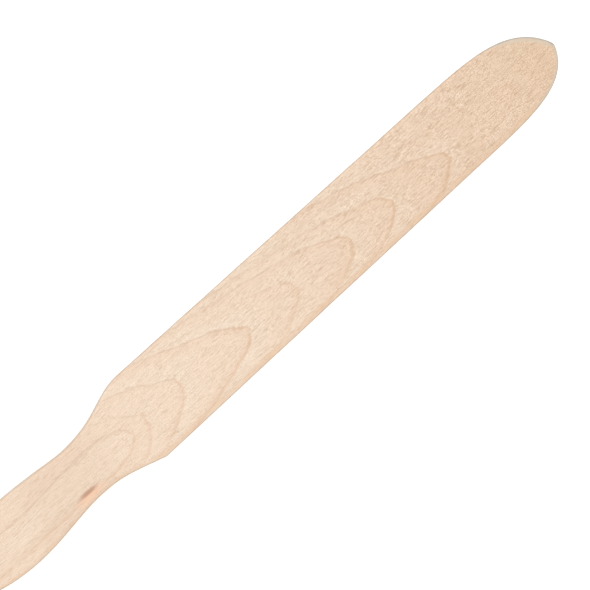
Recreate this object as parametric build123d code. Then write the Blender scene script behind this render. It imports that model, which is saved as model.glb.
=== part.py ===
from build123d import *
import math
import os

# A flat wooden spatula for working clay, cut in one piece from a strip of beech: a long
# straight blade with a blunt pointed tip, one bevelled edge, a narrow neck and a swelling
# handle with a rounded butt.
# Millimetres. +X runs from the butt to the tip, +Y to the left of that, +Z up.
# The origin is the middle of the flat underside. Stations are distances back from the tip,
# and sides are distances out from the long axis, which runs through the tip and the butt.

# Driving dimensions
LENGTH = 300.0
AXIS_Y = -0.93  # the blade is wider on its left, so the long axis lies right of the middle

LEFT_EDGE_STATION = 46.0  # where the round of the tip runs into the straight edge
LEFT_EDGE_SIDE = 17.0
RIGHT_EDGE_STATION = 42.0
RIGHT_EDGE_SIDE = 14.85
LEFT_SHOULDER_STATION = 200.0  # where the straight edge ends in a round shoulder
LEFT_SHOULDER_SIDE = 18.1
RIGHT_SHOULDER_STATION = 206.75  # a plain corner, at the end of the bevel
RIGHT_SHOULDER_SIDE = 16.25
RIGHT_SHOULDER_ANGLE = -17.9  # degrees that the outline turns in at that corner

NECK_STATION = 234.5
NECK_LEFT_SIDE = 11.2
NECK_RIGHT_SIDE = 10.65
SWELL_STATION = 266.7
SWELL_SIDE = 13.5

TIP_LEFT_ANGLE = 66.5  # degrees from the long axis to each side of the outline, at the tip
TIP_RIGHT_ANGLE = 72.0

# How far each curve follows the directions of its two ends before it turns
TIP_LEFT_REACH = (16.1, 25.5)
TIP_RIGHT_REACH = (14.2, 22.5)
LEFT_SHOULDER_REACH = (11.5, 18.2)
RIGHT_SHOULDER_REACH = (16.8, 9.6)
LEFT_SWELL_REACH = (5.2, 15.8)
RIGHT_SWELL_REACH = (9.2, 12.2)

HANDLE_THICKNESS = 7.0
TIP_THICKNESS = 3.0  # where the thinning upper face of the blade reaches the tip
BEVEL_WIDTH = 2.5  # of the bevel along the top of the right edge
BEVEL_DROP = 1.6
TIP_RADIUS = 1.5  # of the worn point, seen from above
TOP_EDGE_RADIUS = 1.5
UNDER_EDGE_RADIUS = 1.0

LEFT = 1
RIGHT = -1


def place(station, side, hand):
    """A point of the outline."""
    return Vector(LENGTH / 2 - station, AXIS_Y + hand * side)


def back(angle, hand):
    """The direction towards the butt, turned outwards by an angle in degrees."""
    turn = math.radians(angle)
    return Vector(-math.cos(turn), hand * math.sin(turn))


def bend(start, start_way, end, end_way, reach):
    """A smooth curve between two points that leaves and arrives in the given directions."""
    return Bezier(start, start + start_way * reach[0], end - end_way * reach[1], end)


def left_side():
    """The left side of the outline, from the tip back to the widest place of the handle."""
    tip = place(0, 0, LEFT)
    edge_start = place(LEFT_EDGE_STATION, LEFT_EDGE_SIDE, LEFT)
    shoulder = place(LEFT_SHOULDER_STATION, LEFT_SHOULDER_SIDE, LEFT)
    neck = place(NECK_STATION, NECK_LEFT_SIDE, LEFT)
    swell = place(SWELL_STATION, SWELL_SIDE, LEFT)
    edge_way = (shoulder - edge_start).normalized()
    straight = back(0, LEFT)
    bend(tip, back(TIP_LEFT_ANGLE, LEFT), edge_start, edge_way, TIP_LEFT_REACH)
    Line(edge_start, shoulder)
    bend(shoulder, edge_way, neck, straight, LEFT_SHOULDER_REACH)
    bend(neck, straight, swell, straight, LEFT_SWELL_REACH)


def right_side():
    """The right side of the outline, which has a plain corner for its shoulder."""
    tip = place(0, 0, RIGHT)
    edge_start = place(RIGHT_EDGE_STATION, RIGHT_EDGE_SIDE, RIGHT)
    shoulder = place(RIGHT_SHOULDER_STATION, RIGHT_SHOULDER_SIDE, RIGHT)
    neck = place(NECK_STATION, NECK_RIGHT_SIDE, RIGHT)
    swell = place(SWELL_STATION, SWELL_SIDE, RIGHT)
    edge_way = (shoulder - edge_start).normalized()
    straight = back(0, RIGHT)
    bend(tip, back(TIP_RIGHT_ANGLE, RIGHT), edge_start, edge_way, TIP_RIGHT_REACH)
    Line(edge_start, shoulder)
    bend(shoulder, back(RIGHT_SHOULDER_ANGLE, RIGHT), neck, straight, RIGHT_SHOULDER_REACH)
    bend(neck, straight, swell, straight, RIGHT_SWELL_REACH)


def outline():
    """The whole tool seen from above, closed by the half ellipse of the butt."""
    butt_length = LENGTH - SWELL_STATION
    centre = place(SWELL_STATION, 0, LEFT)
    with BuildSketch() as sketch:
        with BuildLine():
            left_side()
            right_side()
            EllipticalCenterArc(centre, butt_length, SWELL_SIDE, start_angle=90, arc_size=180)
        make_face()
    return sketch.sketch


def thinning_plane():
    """The plane that the upper face of the blade is planed to, from the neck to the tip."""
    neck_top = Vector(LENGTH / 2 - NECK_STATION, 0, HANDLE_THICKNESS)
    tip_top = Vector(LENGTH / 2, 0, TIP_THICKNESS)
    along = (tip_top - neck_top).normalized()
    return Plane(origin=neck_top, x_dir=along, z_dir=along.cross(Vector(0, 1, 0)))


def on_top(point):
    """The place on the blade's upper face above a point of the outline."""
    station = LENGTH / 2 - point.X
    thickness = TIP_THICKNESS + (HANDLE_THICKNESS - TIP_THICKNESS) * station / NECK_STATION
    return Vector(point.X, point.Y, thickness)


def bevel_plane():
    """The plane that the bevel is planed to, along the blade's right edge."""
    start = on_top(place(RIGHT_EDGE_STATION, RIGHT_EDGE_SIDE, RIGHT))
    end = on_top(place(RIGHT_SHOULDER_STATION, RIGHT_SHOULDER_SIDE, RIGHT))
    along = (start - end).normalized()
    down = Vector(0, -BEVEL_WIDTH, -BEVEL_DROP)
    return Plane(origin=start + Vector(0, BEVEL_WIDTH, 0), x_dir=along, z_dir=down.cross(along))


def rim(solid):
    """The edges all round the upper face."""
    return [
        edge
        for edge in solid.edges()
        if edge.bounding_box().max.Z > TIP_THICKNESS / 2
        and edge.bounding_box().size.X > TOP_EDGE_RADIUS
    ]


def spatula():
    """The strip cut to its outline, planed thin towards the tip, rounded and bevelled."""
    solid = extrude(outline(), amount=HANDLE_THICKNESS)
    solid = fillet(solid.edges().filter_by(Axis.Z).sort_by(Axis.X)[-1], TIP_RADIUS)
    solid = split(solid, bisect_by=thinning_plane(), keep=Keep.BOTTOM)
    solid = fillet(rim(solid), TOP_EDGE_RADIUS)
    solid = split(solid, bisect_by=bevel_plane(), keep=Keep.BOTTOM)
    return fillet(solid.faces().sort_by(Axis.Z)[0].edges(), UNDER_EDGE_RADIUS)


os.makedirs("parts", exist_ok=True)
wooden_spatula = spatula()
wooden_spatula.label = "wooden_spatula"
export_step(wooden_spatula, "parts/wooden_spatula.step")
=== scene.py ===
import math
from collections import namedtuple
from types import SimpleNamespace

import bpy
import numpy as np
from mathutils import Matrix, Vector
from mathutils import noise as perlin


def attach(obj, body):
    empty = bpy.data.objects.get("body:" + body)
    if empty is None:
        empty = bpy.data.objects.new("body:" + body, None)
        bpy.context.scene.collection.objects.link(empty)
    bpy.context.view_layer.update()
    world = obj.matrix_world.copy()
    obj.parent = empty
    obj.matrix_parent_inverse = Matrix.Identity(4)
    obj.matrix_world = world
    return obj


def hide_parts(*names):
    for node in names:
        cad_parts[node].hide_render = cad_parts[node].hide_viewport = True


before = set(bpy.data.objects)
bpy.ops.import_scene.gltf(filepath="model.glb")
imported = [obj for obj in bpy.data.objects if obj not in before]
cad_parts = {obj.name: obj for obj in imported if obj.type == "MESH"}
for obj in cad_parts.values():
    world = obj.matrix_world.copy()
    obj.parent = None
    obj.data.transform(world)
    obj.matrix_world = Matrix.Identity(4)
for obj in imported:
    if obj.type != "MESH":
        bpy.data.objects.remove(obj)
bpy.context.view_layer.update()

# A flat one-piece beech spatula for working clay, lying on its flat underside.
# Lengths are millimetres in the tool's own frame, +X to the tip and +Y to the left of that,
# until MM turns them into metres. A station is a distance back from the tip and a side is a
# distance out from the long axis, as in the CAD part, whose outline this mesh repeats.
MM = 0.001
NODE = "wooden_spatula"
LEFT = 1
RIGHT = -1

# The outline
LENGTH = 300.0
AXIS_Y = -0.93
EDGE_START = {LEFT: (46.0, 17.0), RIGHT: (42.0, 14.85)}
SHOULDER = {LEFT: (200.0, 18.1), RIGHT: (206.75, 16.25)}
SHOULDER_ANGLE = {LEFT: 0.41, RIGHT: -17.9}
NECK = {LEFT: (234.5, 11.2), RIGHT: (234.5, 10.65)}
SWELL = (266.7, 13.5)
TIP_ANGLE = {LEFT: 66.5, RIGHT: 72.0}
TIP_REACH = {LEFT: (16.1, 25.5), RIGHT: (14.2, 22.5)}
SHOULDER_REACH = {LEFT: (11.5, 18.2), RIGHT: (16.8, 9.6)}
SWELL_REACH = {LEFT: (5.2, 15.8), RIGHT: (9.2, 12.2)}
NOSE_CUT = {LEFT: 1.3, RIGHT: 0.8}  # of each side, where the worn point is rounded off
NOSE_SHIFT = np.array([-0.1, 0.25])  # of the rounding's middle from the sharp point

# The thickness
HANDLE_THICKNESS = 7.0
TIP_THICKNESS = 3.0
NECK_X = LENGTH / 2 - NECK[LEFT][0]
THINNING = (HANDLE_THICKNESS - TIP_THICKNESS) / NECK[LEFT][0]
THINNING_BLEND = 12.0  # to each side of the neck

# The mesh
CELL = 0.75  # along the tool
ACROSS = 40  # cells from edge to edge
CORNER_STATION = 6.0  # of the places where the grid's ends meet its sides
CURVE_POINTS = 400  # of each stretch of a side
TIP_POINTS = 300  # of each side of the tip
NOSE_POINTS = 60
TURN_SPREAD = 4  # points over which the way inwards turns past a corner
SUPPORT = 0.3  # inside each rounded edge
BAND = (0.0, 0.06, 0.16, 0.3, 0.45, 0.6, 0.75, 0.84, 0.92, 1.0)  # places across a rounded edge
WALL_PLACES = (0.12, 0.5, 0.88)  # down the side wall
RELAXING = 300  # rounds


def smooth_step(low, high, value):
    """0 below low, 1 above high and a smooth rise between them."""
    share = np.clip((np.asarray(value, float) - low) / (high - low), 0, 1)
    return share * share * (3 - 2 * share)


def place(station, side, hand):
    """The point at a station and a side, to the left or the right of the long axis."""
    return np.array([LENGTH / 2 - station, AXIS_Y + hand * side])


def back(angle, hand):
    """The direction towards the butt, turned outwards by an angle in degrees."""
    turn = math.radians(angle)
    return np.array([-math.cos(turn), hand * math.sin(turn)])


def bend(start, start_way, end, end_way, reach):
    """A smooth curve between two points that leaves and arrives in the given directions."""
    t = np.linspace(0, 1, CURVE_POINTS)[:, None]
    near = start + start_way * reach[0]
    far = end - end_way * reach[1]
    return (
        (1 - t) ** 3 * start + 3 * (1 - t) ** 2 * t * near + 3 * (1 - t) * t**2 * far + t**3 * end
    )


def butt_curve(swell, hand):
    """One side of the butt: a quarter of an ellipse from the swell to the end."""
    turn = np.linspace(0, math.pi / 2, CURVE_POINTS)
    along = (LENGTH - SWELL[0]) * np.sin(turn)
    inwards = hand * SWELL[1] * (1 - np.cos(turn))
    return swell - np.stack([along, inwards], 1)


def side_curve(hand):
    """One side of the outline, from the tip to the end of the butt, as close points."""
    tip = place(0, 0, hand)
    edge_start = place(*EDGE_START[hand], hand)
    shoulder = place(*SHOULDER[hand], hand)
    neck = place(*NECK[hand], hand)
    swell = place(*SWELL, hand)
    edge_way = (shoulder - edge_start) / np.linalg.norm(shoulder - edge_start)
    straight = back(0, hand)
    runs = [
        bend(tip, back(TIP_ANGLE[hand], hand), edge_start, edge_way, TIP_REACH[hand]),
        np.linspace(edge_start, shoulder, CURVE_POINTS),
        bend(shoulder, back(SHOULDER_ANGLE[hand], hand), neck, straight, SHOULDER_REACH[hand]),
        bend(neck, straight, swell, straight, SWELL_REACH[hand]),
        butt_curve(swell, hand),
    ]
    return np.concatenate([runs[0]] + [run[1:] for run in runs[1:]])


def lengths(curve):
    """How far along the curve each of its points is."""
    return np.concatenate([[0], np.cumsum(np.linalg.norm(np.diff(curve, axis=0), axis=1))])


def points_at(curve, where):
    """The points that lie so far along the curve."""
    along = lengths(curve)
    return np.stack([np.interp(where, along, curve[:, axis]) for axis in (0, 1)], 1)


def length_at(curve, x):
    """How far along a side the first point at or behind x is."""
    return lengths(curve)[np.argmax(curve[:, 0] <= x)]


def grid_corners(side):
    """How far along a side the grid's front corner and rear corner are, and the side's end."""
    front_x = LENGTH / 2 - CORNER_STATION
    return length_at(side, front_x), length_at(side, -front_x), lengths(side)[-1]


def spread(curve, start, end, cells):
    """Even points along a stretch of a curve, one more than the cells between them."""
    return points_at(curve, np.linspace(start, end, cells + 1))


def right_side(right, front, rear, cells):
    """Even points along the right side, with the nearest one moved onto its crisp shoulder."""
    where = np.linspace(front, rear, cells + 1)
    corner = length_at(right, LENGTH / 2 - SHOULDER[RIGHT][0])
    where[np.argmin(abs(where - corner))] = corner
    return points_at(right, where)


def tip_run(left, right, left_front, right_front):
    """Even points round the tip, from the left to the right, with its point worn round."""
    cut_left = points_at(left, [NOSE_CUT[LEFT]])[0]
    cut_right = points_at(right, [NOSE_CUT[RIGHT]])[0]
    middle = left[0] + NOSE_SHIFT
    t = np.linspace(0, 1, NOSE_POINTS)[:, None]
    nose = (1 - t) ** 2 * cut_left + 2 * (1 - t) * t * middle + t**2 * cut_right
    before = points_at(left, np.linspace(left_front, NOSE_CUT[LEFT], TIP_POINTS))
    after = points_at(right, np.linspace(NOSE_CUT[RIGHT], right_front, TIP_POINTS))
    whole = np.concatenate([before[:-1], nose, after[1:]])
    return spread(whole, 0, lengths(whole)[-1], ACROSS)


def outline():
    """The closed outline in four runs of points: left side, butt, right side, tip."""
    left = side_curve(LEFT)
    right = side_curve(RIGHT)
    left_front, left_rear, left_end = grid_corners(left)
    right_front, right_rear, right_end = grid_corners(right)
    cells = round((left_rear - left_front) / CELL)
    left_run = spread(left, left_front, left_rear, cells)
    right_run = right_side(right, right_front, right_rear, cells)
    butt_left = spread(left, left_rear, left_end, ACROSS // 2)
    butt_right = spread(right, right_rear, right_end, ACROSS // 2)
    butt = np.concatenate([butt_left, butt_right[::-1][1:]])
    return left_run, butt, right_run, tip_run(left, right, left_front, right_front)


def closed_loop(left, butt, right, tip):
    """The runs joined into one loop: back along the left, round the butt, forward, round the tip."""
    return np.concatenate([left[:-1], butt[:-1], right[::-1][:-1], tip[::-1][:-1]])


def inward(loop):
    """Each point's way inwards. It turns gradually past a corner, so that no two ways cross."""
    edge = np.roll(loop, -1, 0) - np.roll(loop, 1, 0)
    normal = np.stack([-edge[:, 1], edge[:, 0]], 1)
    normal /= np.linalg.norm(normal, axis=1)[:, None]
    furthest = 3 * TURN_SPREAD
    way = sum(
        math.exp(-((step / TURN_SPREAD) ** 2) / 2) * np.roll(normal, step, 0)
        for step in range(-furthest, furthest + 1)
    )
    way /= np.linalg.norm(way, axis=1)[:, None]
    return way / (way * normal).sum(1)[:, None]


def top_height(x):
    """The level of the upper face: level over the handle, thinning from the neck to the tip."""
    ahead = np.asarray(x, float) - NECK_X
    blend = THINNING_BLEND
    eased = np.where(ahead > blend, ahead, np.clip(ahead + blend, 0, None) ** 2 / (4 * blend))
    return HANDLE_THICKNESS - THINNING * eased


# The edges. Each kind has its width on the upper face, its drop at the outline, and how flat
# it is: 0 is a quarter round and 1 is a planed facet.
HANDLE_EDGE = np.array([2.1, 1.9, 0.0])
BLADE_EDGE = np.array([1.3, 1.0, 0.0])
TIP_FACET = np.array([2.3, 1.0, 0.6])
BEVEL = np.array([2.3, 1.45, 1.0])
UNDER_EDGE = {"handle": 1.5, "blade": 0.8}
BLADE_EDGE_X = (-74.0, -52.0)  # where the handle's edge turns into the blade's
TIP_FACET_X = (132.0, 139.0)  # where the facet of the left side grows to its full width
AXIS_BLEND = 0.6  # to each side of the long axis
BEVEL_START = (0.25, 2.4)  # how far outside the bevel's inner line the bevel begins and is whole
RUN_ON = 0.5  # of its own length, how far the straight edge is followed past its ends
WORN_ARRIS = 0.35  # further drop at the outer edge of a planed facet
WORN_FROM = 0.75  # of the way across the facet

# The unevenness of hand work: how much, over what length, and the seed of its noise
SLOW_WAVER = (0.09, 17, 1.3)
QUICK_WAVER = (0.05, 4, 5.1)
OUTLINE_WAVER = (0.05, 21, 8.8)
OUTLINE_INSET = 0.02
SANDING_DEPTH = 0.04
SANDING_SIZE = (26, 14)
SANDING_SEED = 3.7
KNOT_PLACE = (-86.8, -7.5)
KNOT_DENT = 0.12
KNOT_DENT_SIZE = (6.5, 1.6)


def straight_side(x, hand):
    """How far out the straight edge of the blade lies at x, or would lie if it ran on."""
    front, front_side = EDGE_START[hand]
    rear, rear_side = SHOULDER[hand]
    ahead = (x - (LENGTH / 2 - rear)) / (rear - front)
    return rear_side + (front_side - rear_side) * np.clip(ahead, -RUN_ON, 1 + RUN_ON)


def edge_form(loop):
    """The width, drop and flatness of the upper edge at each point, and the handle's share of it."""
    x, y = loop.T
    handle = 1 - smooth_step(*BLADE_EDGE_X, x)
    on_left = smooth_step(AXIS_Y - AXIS_BLEND, AXIS_Y + AXIS_BLEND, y)
    tip = smooth_step(*TIP_FACET_X, x) * on_left
    outside = (AXIS_Y - y) - (straight_side(x, RIGHT) - BEVEL[0])
    bevel = smooth_step(*BEVEL_START, outside) * (1 - on_left)
    form = BLADE_EDGE + handle[:, None] * (HANDLE_EDGE - BLADE_EDGE)
    form = form + tip[:, None] * (TIP_FACET - form)
    form = form + bevel[:, None] * (BEVEL - form)
    return form, handle


def waver(loop, amount, size, seed):
    """A gentle unevenness along the outline, up to the amount to either side."""
    return amount * np.array([perlin.noise(Vector((x / size, y / size, seed))) for x, y in loop])


def face_relief(points):
    """How far the upper face lies below its plane: sanding waves and a dent at the pin knot."""
    x, y = points.T
    long, wide = SANDING_SIZE
    waves = [perlin.noise(Vector((a / long, b / wide, SANDING_SEED))) for a, b in points]
    dent_long, dent_wide = KNOT_DENT_SIZE
    knot = ((x - KNOT_PLACE[0]) / dent_long) ** 2 + ((y - KNOT_PLACE[1]) / dent_wide) ** 2
    return SANDING_DEPTH * (1 + np.array(waves)) + KNOT_DENT * np.exp(-knot)


def upper_face(points):
    """The height of the upper face over each point."""
    return top_height(points[:, 0]) - face_relief(points)


def upper_rings(loop, way, form):
    """Rings of points from just inside the upper edge, over it, to the top of the side wall."""
    width, drop, flat = form.T
    inside = loop + way * (width + SUPPORT)[:, None]
    rings = [np.column_stack([inside, upper_face(inside)])]
    for share in BAND:
        turn = share * math.pi / 2
        aside = width * (flat * (1 - share) + (1 - flat) * (1 - math.sin(turn)))
        fall = drop * (flat * share + (1 - flat) * (1 - math.cos(turn)))
        worn = max(share - WORN_FROM, 0) / (1 - WORN_FROM)
        fall = fall + WORN_ARRIS * worn**2 * flat
        points = loop + way * aside[:, None]
        rings.append(np.column_stack([points, upper_face(points) - fall]))
    return rings


def lower_rings(loop, way, radius):
    """Rings of points from the foot of the side wall, round the lower edge, to the underside."""
    rings = []
    for share in BAND[::-1]:
        turn = share * math.pi / 2
        points = loop + way * (radius * (1 - math.sin(turn)))[:, None]
        rings.append(np.column_stack([points, radius * (1 - math.cos(turn))]))
    inside = loop + way * (radius + SUPPORT)[:, None]
    rings.append(np.column_stack([inside, 0 * radius]))
    return rings


def edge_rings(loop):
    """All rings of points round the tool, from the upper face down to the underside."""
    way = inward(loop)
    form, handle = edge_form(loop)
    form[:, 0] *= 1 + waver(loop, *SLOW_WAVER) + waver(loop, *QUICK_WAVER)
    loop = loop + way * (OUTLINE_INSET + waver(loop, *OUTLINE_WAVER))[:, None]
    radius = UNDER_EDGE["blade"] + handle * (UNDER_EDGE["handle"] - UNDER_EDGE["blade"])
    rings = upper_rings(loop, way, form)
    wall_top = rings[-1][:, 2]
    for share in WALL_PLACES:
        rings.append(np.column_stack([loop, wall_top + share * (radius - wall_top)]))
    return rings + lower_rings(loop, way, radius)


def filled_grid(loop, cells):
    """Even quads inside a closed loop: a grid stretched between its four runs, then relaxed."""
    left = loop[: cells + 1]
    butt = loop[cells : cells + ACROSS + 1]
    right = loop[cells + ACROSS : 2 * cells + ACROSS + 1][::-1]
    tip = np.concatenate([loop[2 * cells + ACROSS :], loop[:1]])[::-1]
    u = np.linspace(0, 1, cells + 1)[:, None, None]
    v = np.linspace(0, 1, ACROSS + 1)[None, :, None]
    grid = (1 - v) * left[:, None] + v * right[:, None] + (1 - u) * tip[None] + u * butt[None]
    grid -= (1 - u) * ((1 - v) * left[0] + v * right[0]) + u * ((1 - v) * left[-1] + v * right[-1])
    for _ in range(RELAXING):
        near = grid[:-2, 1:-1] + grid[2:, 1:-1] + grid[1:-1, :-2] + grid[1:-1, 2:]
        grid[1:-1, 1:-1] = near / 4
    return grid


def grid_numbers(cells, first_of_ring, first_inside):
    """The vertex numbers of a grid whose border is a ring of the edge."""
    numbers = np.zeros((cells + 1, ACROSS + 1), int)
    ring = first_of_ring + np.arange(2 * (cells + ACROSS))
    numbers[:, 0] = ring[: cells + 1]
    numbers[-1, :] = ring[cells : cells + ACROSS + 1]
    numbers[:, -1] = ring[cells + ACROSS : 2 * cells + ACROSS + 1][::-1]
    numbers[0, 1:] = ring[2 * cells + ACROSS :][::-1]
    numbers[1:-1, 1:-1] = first_inside + np.arange((cells - 1) * (ACROSS - 1)).reshape(cells - 1, -1)
    return numbers


def grid_faces(numbers, upwards):
    """The quads of a grid, facing up or down."""
    corners = [numbers[:-1, :-1], numbers[1:, :-1], numbers[1:, 1:], numbers[:-1, 1:]]
    faces = np.stack([corner.ravel() for corner in corners], 1)
    return faces if upwards else faces[:, ::-1]


def skin(rings, cells):
    """The closed surface: bands between the rings, and a grid inside the first and the last."""
    top = filled_grid(rings[0][:, :2], cells)[1:-1, 1:-1].reshape(-1, 2)
    bottom = filled_grid(rings[-1][:, :2], cells)[1:-1, 1:-1].reshape(-1, 2)
    grids = [np.column_stack([top, upper_face(top)]), np.column_stack([bottom, 0 * bottom[:, 0]])]
    size = len(rings[0])
    last_ring = size * (len(rings) - 1)
    first_top = last_ring + size
    first_bottom = first_top + len(top)
    faces = [
        grid_faces(grid_numbers(cells, 0, first_top), True),
        grid_faces(grid_numbers(cells, last_ring, first_bottom), False),
    ]
    here = np.arange(size)
    following = np.roll(here, -1)
    for upper in range(0, last_ring, size):
        lower = upper + size
        band = [upper + here, lower + here, lower + following, upper + following]
        faces.append(np.stack(band, 1))
    return np.concatenate(rings + grids), np.concatenate(faces)


def build_spatula():
    """The whole tool as one closed mesh of quads."""
    runs = outline()
    cells = len(runs[0]) - 1
    vertices, faces = skin(edge_rings(closed_loop(*runs)), cells)
    mesh = bpy.data.meshes.new(NODE + "_wood")
    mesh.from_pydata((vertices * MM).tolist(), [], faces.tolist())
    mesh.validate()
    mesh.polygons.foreach_set("use_smooth", [True] * len(mesh.polygons))
    mesh.update()
    piece = bpy.data.objects.new("spatula_body", mesh)
    bpy.context.collection.objects.link(piece)
    return piece


MIX_INPUTS = (0, 6, 7)  # of a colour Mix node: the share and the two colours
MIX_RESULT = 2
NOISE_MIDDLE = 0.5


class Nodes:
    """Shorthand for the nodes of one material or group."""

    def __init__(self, tree):
        self.tree = tree

    def add(self, kind, **settings):
        node = self.tree.nodes.new("ShaderNode" + kind)
        for name, value in settings.items():
            setattr(node, name, value)
        return node

    def feed(self, socket, value):
        if isinstance(value, bpy.types.NodeSocket):
            self.tree.links.new(value, socket)
        else:
            socket.default_value = value

    def maths(self, operation, *values, clamp=False):
        node = self.add("Math", operation=operation, use_clamp=clamp)
        for socket, value in zip(node.inputs, values):
            self.feed(socket, value)
        return node.outputs[0]

    def plus(self, first, second):
        return self.maths("ADD", first, second)

    def minus(self, first, second):
        return self.maths("SUBTRACT", first, second)

    def times(self, first, second):
        return self.maths("MULTIPLY", first, second)

    def over(self, first, second):
        return self.maths("DIVIDE", first, second)

    def larger(self, first, second):
        return self.maths("MAXIMUM", first, second)

    def size(self, value):
        return self.maths("ABSOLUTE", value)

    def times_plus(self, value, factor, addend):
        return self.maths("MULTIPLY_ADD", value, factor, addend)

    def swing(self, noise, reach, middle):
        """A middle value that a noise moves to both sides, by half the reach at most."""
        return self.times_plus(self.minus(noise, NOISE_MIDDLE), reach, middle)

    def distance(self, first, second):
        """The length of the sides' hypotenuse."""
        return self.maths("SQRT", self.plus(self.times(first, first), self.times(second, second)))

    def fade(self, value, start, end, low=0.0, high=1.0):
        """low at start and before it, high at end and beyond it, and a smooth change between."""
        node = self.add("MapRange", interpolation_type="SMOOTHSTEP")
        for socket, number in zip(node.inputs, (value, start, end, low, high)):
            self.feed(socket, number)
        return node.outputs[0]

    def fade_out(self, value, start, end):
        """1 at start and before it, 0 at end and beyond it, and a smooth change between."""
        return self.fade(value, start, end, 1.0, 0.0)

    def stripe(self, value, rise, fall):
        """1 between the rise and the fall, and 0 outside them."""
        return self.times(self.fade(value, *rise), self.fade_out(value, *fall))

    def join(self, x, y, z):
        node = self.add("CombineXYZ")
        for socket, value in zip(node.inputs, (x, y, z)):
            self.feed(socket, value)
        return node.outputs[0]

    def split(self, vector):
        node = self.add("SeparateXYZ")
        self.feed(node.inputs[0], vector)
        return node.outputs

    def stretch(self, vector, scale):
        node = self.add("VectorMath", operation="MULTIPLY")
        self.feed(node.inputs[0], vector)
        self.feed(node.inputs[1], scale)
        return node.outputs[0]

    def noise(self, vector, density, detail=2.0, roughness=0.5):
        """A noise about 0.5, with so many features in a unit along each axis."""
        node = self.add("TexNoise")
        self.feed(node.inputs["Vector"], self.stretch(vector, density))
        node.inputs["Scale"].default_value = 1.0
        node.inputs["Detail"].default_value = detail
        node.inputs["Roughness"].default_value = roughness
        return node.outputs[0]

    def mix(self, share, first, second, blend="MIX"):
        node = self.add("Mix", data_type="RGBA", blend_type=blend)
        for number, value in zip(MIX_INPUTS, (share, first, second)):
            self.feed(node.inputs[number], value)
        return node.outputs[MIX_RESULT]

    def tint(self, share, colour, tint):
        return self.mix(share, colour, tint, "MULTIPLY")


# Places in the wood. The densities of noises are features per millimetre along the tool,
# across it and through it.
BROAD_WAVES = (0.045, 0.13, 0.13)
CLOSE_WAVES = (0.16, 0.55, 0.55)
FIBRES = (0.16, 2.6, 2.6)
FIBRE_SWAY = 3.0
BROAD_WANDER = 7.0  # of the rings, along the tool
FIBRE_WANDER = 3.0
CLOSE_WANDER = 2.2
SIDE_WANDER = 0.9  # of the rings, across the tool
RING_TILT = 3.0  # how far a ring moves back towards the butt for each unit of depth
NOISE_LIFT = 2.37  # keeps the underside off the planes of the noise's own grid, where it is flat


def places_in_wood(nodes):
    """Where a spot lies in the tool, how deep it is and which way its surface faces."""
    given = nodes.add("TexCoord")
    x, y, z = nodes.split(nodes.stretch(given.outputs["Object"], (1 / MM, 1 / MM, 1 / MM)))
    facing_x, facing_y, facing_z = nodes.split(given.outputs["Normal"])
    top = nodes.times_plus(nodes.minus(x, NECK_X), -THINNING, HANDLE_THICKNESS)
    return SimpleNamespace(
        x=x,
        y=y,
        lifted_z=nodes.plus(z, NOISE_LIFT),
        depth=nodes.minus(nodes.maths("MINIMUM", top, HANDLE_THICKNESS), z),
        facing_x=facing_x,
        facing_y=facing_y,
        facing_z=facing_z,
        level=nodes.size(facing_z),
    )


def add_wander(nodes, wood):
    """Adds where a spot lies among the fibres and the rings, which wander a little."""
    wood.here = nodes.join(wood.x, wood.y, wood.lifted_z)
    broad = nodes.noise(wood.here, BROAD_WAVES)
    wood.close = nodes.noise(wood.here, CLOSE_WAVES)
    wood.fibres = nodes.join(wood.x, nodes.swing(broad, FIBRE_SWAY, wood.y), wood.lifted_z)
    wood.fibre = nodes.noise(wood.fibres, FIBRES, detail=3.0, roughness=0.6)
    wander = nodes.swing(broad, BROAD_WANDER, nodes.times(wood.depth, RING_TILT))
    wander = nodes.swing(wood.fibre, FIBRE_WANDER, wander)
    wood.ring_x = nodes.plus(wood.x, nodes.swing(wood.close, CLOSE_WANDER, wander))
    wood.ring_y = nodes.swing(wood.close, SIDE_WANDER, wood.y)


# Growth rings cross the blade as arcs that point to the tip. Each is given by the place of its
# point, how fast its left and right arms open, as the parameters of a parabola, how much its
# left arm straightens, and how dark its line is. The last one is a loop whose arms run on along
# the handle.
RINGS = (
    (178.0, -4.0, 1.9, 4.0, 0.0, 0.4),
    (160.0, -4.0, 2.0, 5.0, 0.0, 0.45),
    (128.5, -2.2, 2.1, 4.0, 0.0, 0.45),
    (93.2, -5.4, 3.8, 7.4, 0.24, 1.0),
    (67.3, -3.8, 5.4, 7.6, 0.0, 0.95),
    (46.4, -4.2, 5.8, 7.2, 0.0, 0.8),
    (20.8, -3.2, 5.0, 7.4, 0.0, 0.45),
    (-3.6, -2.5, 3.4, 6.0, 0.3, 1.0),
    (-34.6, -1.0, 5.0, 9.4, 0.25, 0.7),
    (-52.2, -1.5, 3.5, 12.0, 0.4, 0.45),
)
LOOP = (-59.6, -2.2, 7.0, 7.3)  # the place of its point, its opening and its arms' distance
LOOP_WIDTH = 1.4  # of its line
LOOP_FOOT_Y = -8.2  # the line towards which its arms close in along the handle
LOOP_CLOSES_X = (-75.0, -112.0)
LOOP_CLOSING = 1.2
LOOP_DARKNESS = 0.5
LOOP_PALENESS = 0.35  # of the wood inside it
LOOP_SHADE = 0.6  # of the wood outside it
LOOP_INSIDE = (0.2, 3.0)  # how far inside its line the paler wood begins and is palest
LOOP_OUTSIDE_RISE = (-7.0, -3.0)
LOOP_OUTSIDE_FALL = (-1.0, 0.2)
STEEPEST = 2.0  # exponent of the loop's field, which keeps it finite far ahead of the loop

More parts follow.
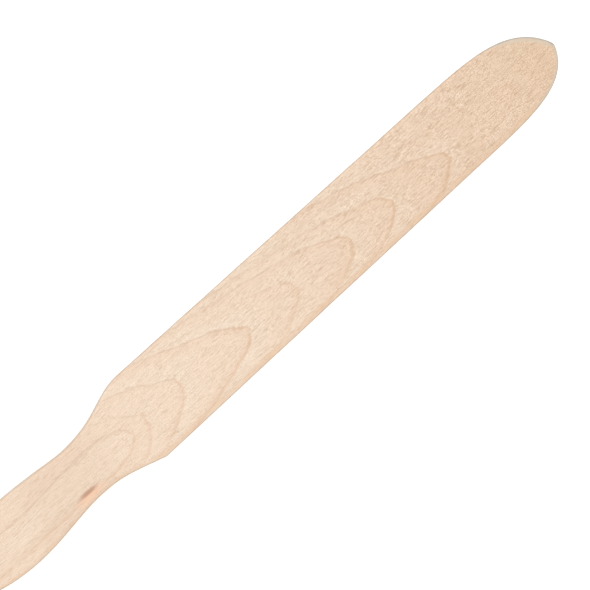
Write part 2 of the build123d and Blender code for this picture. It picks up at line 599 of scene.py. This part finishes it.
# How far inside a ring's line its marks begin and end
LINE_RISE = (-0.5, 0.1)
LINE_FALL = 0.2
LINE_WIDTH = {LEFT: 0.9, RIGHT: 1.6}
LINE_SIDES = (-1.0, 3.5)  # aside from the ring's point, where the width changes
INNER_RISE = (-0.2, 0.3)
INNER_FALL = (0.3, 6.5)
OUTER_RISE = (-9.0, -0.4)
OUTER_FALL = (-0.4, 0.0)
ARM_STEEPNESS = (0.8, 3.0)  # of a ring's arm, where its line starts to fade and is faintest
ARM_FAINTEST = 0.45
GAPS = (0.10, 0.16, 0.16)  # the density of the noise that weakens the lines here and there
GAP_SHOWS = (0.3, 0.55)
GAP_STRENGTH = 0.55  # what is left of a line there


def group(name, inputs, outputs):
    tree = bpy.data.node_groups.new(name, "ShaderNodeTree")
    for label in inputs:
        tree.interface.new_socket(label, in_out="INPUT", socket_type="NodeSocketFloat")
    for label in outputs:
        tree.interface.new_socket(label, in_out="OUTPUT", socket_type="NodeSocketFloat")
    return tree, Nodes(tree), tree.nodes.new("NodeGroupInput"), tree.nodes.new("NodeGroupOutput")


def ring_line(nodes, off, width):
    """A soft line of the given width on the inner side of a ring."""
    return nodes.stripe(off, LINE_RISE, (LINE_FALL, width))


def ring_group():
    """One growth ring: a parabola that points to the tip, whose left arm may straighten."""
    names = ["x", "y", "point x", "point y", "left", "right", "straight"]
    tree, nodes, given, result = group("growth_ring", names, ["line", "inner", "outer"])
    x, y, point_x, point_y, left, right, straight = [given.outputs[name] for name in names]
    aside = nodes.minus(y, point_y)
    on_left = nodes.maths("GREATER_THAN", aside, 0.0)
    straight = nodes.times(on_left, straight)
    opening = nodes.plus(nodes.times(on_left, nodes.minus(left, right)), right)
    ratio = nodes.over(aside, nodes.times_plus(straight, aside, opening))
    steepness = nodes.times(ratio, nodes.minus(2.0, nodes.times(straight, ratio)))
    behind = nodes.minus(nodes.minus(point_x, x), nodes.times(ratio, aside))
    off = nodes.over(behind, nodes.distance(steepness, 1.0))
    width = nodes.fade(aside, *LINE_SIDES, LINE_WIDTH[RIGHT], LINE_WIDTH[LEFT])
    on_arm = nodes.fade(nodes.size(steepness), *ARM_STEEPNESS, 1.0, ARM_FAINTEST)
    marks = [
        nodes.times(ring_line(nodes, off, width), on_arm),
        nodes.stripe(off, INNER_RISE, INNER_FALL),
        nodes.stripe(off, OUTER_RISE, OUTER_FALL),
    ]
    for socket, value in zip(result.inputs, marks):
        nodes.feed(socket, value)
    return tree


def loop_ring(nodes, x, y):
    """The last ring: a round-ended loop, whose arms level out and run along the handle."""
    point_x, point_y, opening, reach = LOOP
    depth = reach * reach / opening
    aside = nodes.minus(y, point_y)
    ahead = nodes.maths("MINIMUM", nodes.over(nodes.minus(x, point_x), depth), STEEPEST)
    slope = nodes.maths("EXPONENT", ahead)
    level = nodes.times(nodes.minus(1.0, slope), depth)
    behind = nodes.minus(level, nodes.over(nodes.times(aside, aside), opening))
    off = nodes.over(behind, nodes.distance(nodes.times(aside, 2.0 / opening), slope))
    inside = nodes.fade(off, *LOOP_INSIDE)
    outside = nodes.stripe(off, LOOP_OUTSIDE_RISE, LOOP_OUTSIDE_FALL)
    return ring_line(nodes, off, LOOP_WIDTH), inside, outside


def growth_rings(nodes, wood):
    """How strongly the lines of the rings, their inner sides and their outer sides show."""
    ring = ring_group()
    marks = [0.0, 0.0, 0.0]
    for *numbers, darkness in RINGS:
        node = nodes.add("Group", node_tree=ring)
        for socket, value in zip(node.inputs, [wood.ring_x, wood.ring_y] + numbers):
            nodes.feed(socket, value)
        found = [nodes.times(output, darkness) for output in node.outputs]
        marks = [nodes.larger(mark, new) for mark, new in zip(marks, found)]
    line, inner, outer = marks
    closing = nodes.fade(wood.x, *LOOP_CLOSES_X, 1.0, LOOP_CLOSING)
    loop_y = nodes.times_plus(nodes.minus(wood.ring_y, LOOP_FOOT_Y), closing, LOOP_FOOT_Y)
    loop_line, inside, outside = loop_ring(nodes, wood.ring_x, loop_y)
    line = nodes.larger(line, nodes.times(loop_line, LOOP_DARKNESS))
    outer = nodes.larger(outer, nodes.times(inside, LOOP_PALENESS))
    inner = nodes.larger(inner, nodes.times(outside, LOOP_SHADE))
    inner = nodes.times(inner, nodes.minus(1.0, inside))
    gaps = nodes.noise(wood.here, GAPS, detail=1.0)
    line = nodes.times(line, nodes.fade(gaps, *GAP_SHOWS, GAP_STRENGTH, 1.0))
    return SimpleNamespace(line=line, inner=inner, outer=outer)


# Clear wood: paler towards the handle, warmer towards the tip
WOOD_PALE = (0.836, 0.677, 0.540, 1)
WOOD_WARM = (0.820, 0.632, 0.480, 1)
WARM_X = (-60.0, 150.0)
WARMEST = 0.80
BLOTCHES = (0.03, 0.08, 0.08)
BLOTCH_SWING = 0.7
BLOTCH_MIDDLE = 0.1
TIP_TINT = (0.945, 0.905, 0.845, 1)
TIP_TINT_X = (105.0, 146.0)
INNER_TINT = (0.985, 0.955, 0.940, 1)
OUTER_TINT = (1.014, 1.055, 1.080, 1)
RING_LINE = {LEFT: (0.520, 0.375, 0.270, 1), RIGHT: (0.630, 0.385, 0.215, 1)}
RING_LINE_Y = (-3.0, 5.0)  # where the right arms' colour turns into the left arms'
RING_LINE_SHARE = 0.70


def clear_wood(nodes, wood):
    """The wood's colour before anything is drawn on it, darker and warmer towards the tip."""
    blotch = nodes.noise(wood.here, BLOTCHES)
    warm = nodes.fade(wood.x, *WARM_X, 0.0, WARMEST)
    warm = nodes.maths("ADD", warm, nodes.swing(blotch, BLOTCH_SWING, BLOTCH_MIDDLE), clamp=True)
    colour = nodes.mix(warm, WOOD_PALE, WOOD_WARM)
    return nodes.tint(nodes.fade(wood.x, *TIP_TINT_X), colour, TIP_TINT)


def with_rings(nodes, wood, rings, colour):
    colour = nodes.tint(rings.inner, colour, INNER_TINT)
    colour = nodes.tint(rings.outer, colour, OUTER_TINT)
    line_colour = nodes.mix(nodes.fade(wood.y, *RING_LINE_Y), RING_LINE[RIGHT], RING_LINE[LEFT])
    return nodes.mix(nodes.times(rings.line, RING_LINE_SHARE), colour, line_colour)


# Flecks and streaks. A mark has the range of its noise over which it comes to show, the share
# of the wood's colour that it covers, and its own colour.
Mark = namedtuple("Mark", "shows share colour")
FIBRE_MARK = Mark((0.42, 0.72), 0.24, (0.600, 0.420, 0.290, 1))
STREAK_MARK = Mark((0.40, 0.75), 0.16, (0.660, 0.480, 0.350, 1))
DARK_DASH = Mark((0.55, 0.68), 0.58, (0.540, 0.365, 0.235, 1))
LIGHT_DASH = Mark((0.47, 0.37), 0.06, (0.970, 0.850, 0.700, 1))
GRAIN_MARK = Mark((0.42, 0.70), 0.75, (0.560, 0.390, 0.260, 1))
STREAKS = (0.02, 0.9, 0.9)
DASHES = (0.34, 3.6, 3.6)
GRAIN = (2.6, 4.4, 4.4)
FLECKS = (0.36, 2.2, 2.2)
FLECK_EDGE = (0.14, 0.40)  # how far from its middle a fleck starts to fade and ends, in cells
FLECK_CHANCE = (0.1, 0.9)
FLECK_SHARE = 0.36
FLECK_DARK = (0.480, 0.320, 0.210, 1)
MARKED_X = (-60.0, 150.0)  # the marks grow stronger from the neck to the tip
MARKED = (0.66, 1.50)


def ray_flecks(nodes, wood):
    """Short flecks along the fibres, each in a cell of its own and of its own strength."""
    cells = nodes.add("TexVoronoi", feature="F1")
    nodes.feed(cells.inputs["Vector"], nodes.stretch(wood.fibres, FLECKS))
    cells.inputs["Scale"].default_value = 1.0
    strength = nodes.fade(nodes.split(cells.outputs["Color"])[0], *FLECK_CHANCE)
    return nodes.times(nodes.fade_out(cells.outputs["Distance"], *FLECK_EDGE), strength)


def with_grain(nodes, wood, dash, fleck, colour):
    """The colour with fibres, streaks, dashes, fine grain and ray flecks laid over it."""
    streak = nodes.noise(wood.fibres, STREAKS)
    grain = nodes.noise(wood.fibres, GRAIN, detail=1.0)
    marked = nodes.fade(wood.x, *MARKED_X, *MARKED)
    for field, mark in ((wood.fibre, FIBRE_MARK), (streak, STREAK_MARK)):
        colour = nodes.mix(nodes.fade(field, *mark.shows, 0.0, mark.share), colour, mark.colour)
    for field, mark in ((dash, DARK_DASH), (dash, LIGHT_DASH), (grain, GRAIN_MARK)):
        share = nodes.times(nodes.fade(field, *mark.shows), nodes.times(marked, mark.share))
        colour = nodes.mix(share, colour, mark.colour)
    return nodes.mix(nodes.times(fleck, nodes.times(marked, FLECK_SHARE)), colour, FLECK_DARK)


# The pin knot: a dark streak with a warm side, in darker wood that trails off along the handle.
# A spot is an oval with its place beside the knot, its half length and half width, the range
# over which it fades, as a share of those, and how much of the wood its colour covers.
Spot = namedtuple("Spot", "side length width edge share colour")
KNOT_CORE = Spot(0.0, 5.0, 0.95, (0.2, 1.4), 0.72, (0.390, 0.180, 0.105, 1))
KNOT_SIDE = Spot(-1.5, 6.455, 1.8, (0.2, 1.5), 0.55, (0.860, 0.520, 0.340, 1))
KNOT_DEPTH = 3.0  # below the upper face
KNOT_TINT = (0.945, 0.930, 0.918, 1)
KNOT_TINT_BACK = 4.0  # its middle, behind the knot
KNOT_TINT_REACH = (8.0, 28.0)
TRAIL_TINT = (0.945, 0.915, 0.885, 1)
TRAIL_WIDTH = (0.4, 2.4)
TRAIL_START = (9.0, 1.0)  # behind the knot
TRAIL_STRENGTH = 0.9
TRAIL_END_X = (-142.0, -118.0)
TRAIL_END = 0.4  # of its strength, what is left at the butt


def knot_shade(nodes, wood, colour):
    """The colour with the darker wood round the knot, and its trail along the handle."""
    knot_x, knot_y = KNOT_PLACE
    away = nodes.size(nodes.minus(wood.x, knot_x - KNOT_TINT_BACK))
    colour = nodes.tint(nodes.fade_out(away, *KNOT_TINT_REACH), colour, KNOT_TINT)
    trail = nodes.fade_out(nodes.size(nodes.minus(wood.ring_y, knot_y)), *TRAIL_WIDTH)
    full, none = [knot_x - distance for distance in TRAIL_START]
    trail = nodes.times(trail, nodes.fade(wood.x, full, none, TRAIL_STRENGTH, 0.0))
    trail = nodes.times(trail, nodes.fade(wood.x, *TRAIL_END_X, TRAIL_END, 1.0))
    return nodes.tint(trail, colour, TRAIL_TINT)


def with_knot(nodes, wood, colour):
    """The colour with the knot on its warm side, both of which end below the upper face."""
    along = nodes.minus(wood.x, KNOT_PLACE[0])
    across = nodes.minus(wood.ring_y, KNOT_PLACE[1])
    near_top = nodes.fade_out(wood.depth, 0.0, KNOT_DEPTH)
    for spot in (KNOT_SIDE, KNOT_CORE):
        aside = nodes.minus(across, spot.side)
        off = nodes.distance(nodes.over(along, spot.length), nodes.over(aside, spot.width))
        shows = nodes.times(nodes.fade_out(off, *spot.edge), near_top)
        colour = nodes.mix(nodes.times(shows, spot.share), colour, spot.colour)
    return colour


# The edges, told by the way that the surface faces: a level of 1 is flat and 0 is upright
WORN_EDGE = (0.790, 0.530, 0.345, 1)
WORN_LEVEL = (0.998, 0.85)
WORN_PATCHES = (0.38, 0.62)
WORN_SHARE = (0.06, 0.36)
# The planed bevel: partly the warmer colour of planed wood, partly painted shade on the side that
# faces away from the lamp.
PLANED_AND_SHADED = (0.700, 0.470, 0.290, 1)
PLANED_FACING = (-0.3, -0.5)
PLANED_LEVEL = (0.5, 0.8)
PLANED_SHARE = 0.18
END_GRAIN = (0.585, 0.515, 0.415, 1)
END_GRAIN_SHARE = 0.65
TIP_END_X = (126.0, 137.0)
TIP_END_LEVEL = (0.985, 0.94)
END_FACING = (0.3, 0.8)
# Painted shade on the side walls and rims: the walls darken to a grey-brown and the rims to a bluish
# grey.
WALL_SHADE = (0.670, 0.655, 0.650, 1)
RIM_SHADE = (0.600, 0.655, 0.725, 1)
RIM_LEVEL = (0.05, 0.50)
LEFT_RIM = -0.14  # how much steeper the rim of the left side counts
LEFT_RIM_FACING = (-0.1, 0.1)
WALL_LEVEL = (0.80, 0.55)
UPRIGHT_LEVEL = (0.05, 0.40)
UPRIGHT_SHARE = 0.88
HANDLE_WALL_X = (-75.0, -55.0)
HANDLE_WALL_SHADE = (0.62, 0.80)
TIP_WALL_X = (120.0, 137.0)
TIP_WALL_SHADE = 0.20


def end_grain(nodes, wood):
    """How far the surface cuts across the fibres: at the facet of the tip and at both ends."""
    facet = nodes.times(nodes.fade(wood.x, *TIP_END_X), nodes.fade(wood.level, *TIP_END_LEVEL))
    return nodes.larger(facet, nodes.fade(nodes.size(wood.facing_x), *END_FACING))


def with_worn_edges_and_bevel_shade(nodes, wood, end, colour):
    """The colour with warm worn edges, the planed bevel and the end grain. The bevel's darker,
    warmer colour is partly planed wood and partly painted shade, where it faces away from the lamp.
    """
    worn = nodes.fade(wood.level, *WORN_LEVEL)
    worn = nodes.times(worn, nodes.fade(wood.close, *WORN_PATCHES, *WORN_SHARE))
    colour = nodes.mix(worn, colour, WORN_EDGE)
    planed_and_shaded = nodes.fade(wood.facing_y, *PLANED_FACING)
    planed_and_shaded = nodes.times(planed_and_shaded, nodes.fade(wood.facing_z, *PLANED_LEVEL))
    colour = nodes.mix(nodes.times(planed_and_shaded, PLANED_SHARE), colour, PLANED_AND_SHADED)
    return nodes.mix(nodes.times(end, END_GRAIN_SHARE), colour, END_GRAIN)


def with_painted_wall_shade(nodes, wood, colour):
    """The colour with painted shade on the side walls and rims: a darker, greyer line round the
    outline.
    """
    on_left = nodes.fade(wood.facing_y, *LEFT_RIM_FACING)
    wall_shade = nodes.fade(nodes.times_plus(on_left, LEFT_RIM, wood.level), *WALL_LEVEL)
    wall_shade = nodes.times(wall_shade, nodes.fade(wood.level, *UPRIGHT_LEVEL, UPRIGHT_SHARE, 1.0))
    share = nodes.fade(wood.x, *HANDLE_WALL_X, *HANDLE_WALL_SHADE)
    share = nodes.plus(share, nodes.fade(wood.x, *TIP_WALL_X, 0.0, TIP_WALL_SHADE))
    tint = nodes.mix(nodes.fade(wood.level, *RIM_LEVEL), WALL_SHADE, RIM_SHADE)
    return nodes.tint(nodes.times(wall_shade, share), colour, tint)


# The sanded surface
ROUGHNESS = 0.50
FIBRE_ROUGHNESS = 0.16
FLECK_ROUGHNESS = -0.08
SPECULAR = 0.35
FIBRE_HEIGHT = 0.5
FLECK_HEIGHT = -0.35
DASH_HEIGHT = -0.6
LINE_HEIGHT = -0.25
END_HEIGHT = 0.1
BUMP_STRENGTH = 0.35
BUMP_DISTANCE = 0.12


def sanded_surface(nodes, shader, fibre, fleck, dash, line, end):
    """Dull wood, in which the flecks, pores and ring lines lie a little deeper."""
    rough = nodes.times_plus(fibre, FIBRE_ROUGHNESS, ROUGHNESS)
    nodes.feed(shader.inputs["Roughness"], nodes.times_plus(fleck, FLECK_ROUGHNESS, rough))
    shader.inputs["Specular IOR Level"].default_value = SPECULAR
    height = nodes.times_plus(fibre, FIBRE_HEIGHT, nodes.times(fleck, FLECK_HEIGHT))
    height = nodes.times_plus(dash, DASH_HEIGHT, height)
    height = nodes.times_plus(end, END_HEIGHT, height)
    bump = nodes.add("Bump")
    bump.inputs["Strength"].default_value = BUMP_STRENGTH
    bump.inputs["Distance"].default_value = BUMP_DISTANCE * MM
    nodes.feed(bump.inputs["Height"], nodes.times_plus(line, LINE_HEIGHT, height))
    nodes.feed(shader.inputs["Normal"], bump.outputs[0])


def beech():
    """Bare sanded beech: growth rings, short ray flecks, fine pores, end grain and a pin knot."""
    material = bpy.data.materials.new("beech")
    material.use_nodes = True
    nodes = Nodes(material.node_tree)
    shader = material.node_tree.nodes["Principled BSDF"]
    wood = places_in_wood(nodes)
    add_wander(nodes, wood)
    rings = growth_rings(nodes, wood)
    dash = nodes.noise(wood.fibres, DASHES, detail=1.0, roughness=0.40)
    fleck = ray_flecks(nodes, wood)
    end = end_grain(nodes, wood)
    colour = clear_wood(nodes, wood)
    colour = knot_shade(nodes, wood, colour)
    colour = with_rings(nodes, wood, rings, colour)
    colour = with_grain(nodes, wood, dash, fleck, colour)
    colour = with_knot(nodes, wood, colour)
    colour = with_worn_edges_and_bevel_shade(nodes, wood, end, colour)
    colour = with_painted_wall_shade(nodes, wood, colour)
    nodes.feed(shader.inputs["Base Color"], colour)
    sanded_surface(nodes, shader, wood.fibre, fleck, dash, rings.line, end)
    return material


spatula = build_spatula()
spatula.data.materials.append(beech())
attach(spatula, "root")
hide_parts(NODE)


# The stage, in metres
FLOOR_LEVEL = 0.02 * MM  # a hair above the underside, which then shows in a view from below
FLOOR_SIZE = 6.0
FLOOR_WHITE = (0.93, 0.93, 0.93, 1)
FLOOR_ROUGHNESS = 0.9
FLOOR_GLOW = 0.35  # lightens the shadow under the tool to the faint one of a light table
WHITE = (1, 1, 1, 1)
SKY = 1.04
LAMP_WATTS = 4.1
LAMP_SIZE = 1.2
LAMP_PLACE = (-0.1, 0.9, 1.1)


def plain_floor():
    bpy.ops.mesh.primitive_plane_add(size=FLOOR_SIZE, location=(0, 0, FLOOR_LEVEL))
    floor = bpy.context.object
    floor.name = "floor"
    paint = bpy.data.materials.new("floor_white")
    paint.use_nodes = True
    shader = paint.node_tree.nodes["Principled BSDF"]
    shader.inputs["Base Color"].default_value = FLOOR_WHITE
    shader.inputs["Roughness"].default_value = FLOOR_ROUGHNESS
    shader.inputs["Specular IOR Level"].default_value = 0.0
    shader.inputs["Emission Color"].default_value = WHITE
    shader.inputs["Emission Strength"].default_value = FLOOR_GLOW
    floor.data.materials.append(paint)


def soft_light():
    """Even light from a white sky, and a broad lamp that looks at the middle of the tool."""
    world = bpy.data.worlds.new("studio")
    bpy.context.scene.world = world
    world.use_nodes = True
    sky = world.node_tree.nodes["Background"]
    sky.inputs["Color"].default_value = WHITE
    sky.inputs["Strength"].default_value = SKY
    light = bpy.data.lights.new("softbox", "AREA")
    light.size = LAMP_SIZE
    light.energy = LAMP_WATTS
    lamp = bpy.data.objects.new("softbox", light)
    lamp.location = LAMP_PLACE
    lamp.rotation_euler = (-lamp.location).to_track_quat("-Z", "Y").to_euler()
    bpy.context.collection.objects.link(lamp)
    bpy.context.scene.view_settings.view_transform = "Standard"


# The camera looks straight down, turned so that the tool runs up to the right
TURN = math.radians(42.4)
VIEW_WIDTH = 215.75  # across the picture, at VIEW_LEVEL
VIEW_CENTRE = (17.71, -5.18)
VIEW_LEVEL = 0.75 * HANDLE_THICKNESS  # about the middle level of the upper face
CAMERA_HEIGHT = 1500.0
SENSOR = 36.0
VIEW_END = 20.0  # in metres


def straight_down_camera():
    data = bpy.data.cameras.new("camera")
    data.sensor_width = SENSOR
    data.lens = SENSOR * (CAMERA_HEIGHT - VIEW_LEVEL) / VIEW_WIDTH
    data.clip_end = VIEW_END
    camera = bpy.data.objects.new("camera", data)
    right = Vector((math.cos(TURN), -math.sin(TURN), 0))
    up = Vector((math.sin(TURN), math.cos(TURN), 0))
    turn = Matrix((right, up, Vector((0, 0, 1)))).transposed().to_4x4()
    spot = Vector((*VIEW_CENTRE, CAMERA_HEIGHT)) * MM
    camera.matrix_world = Matrix.Translation(spot) @ turn
    bpy.context.collection.objects.link(camera)
    bpy.context.scene.camera = camera


plain_floor()
soft_light()
straight_down_camera()
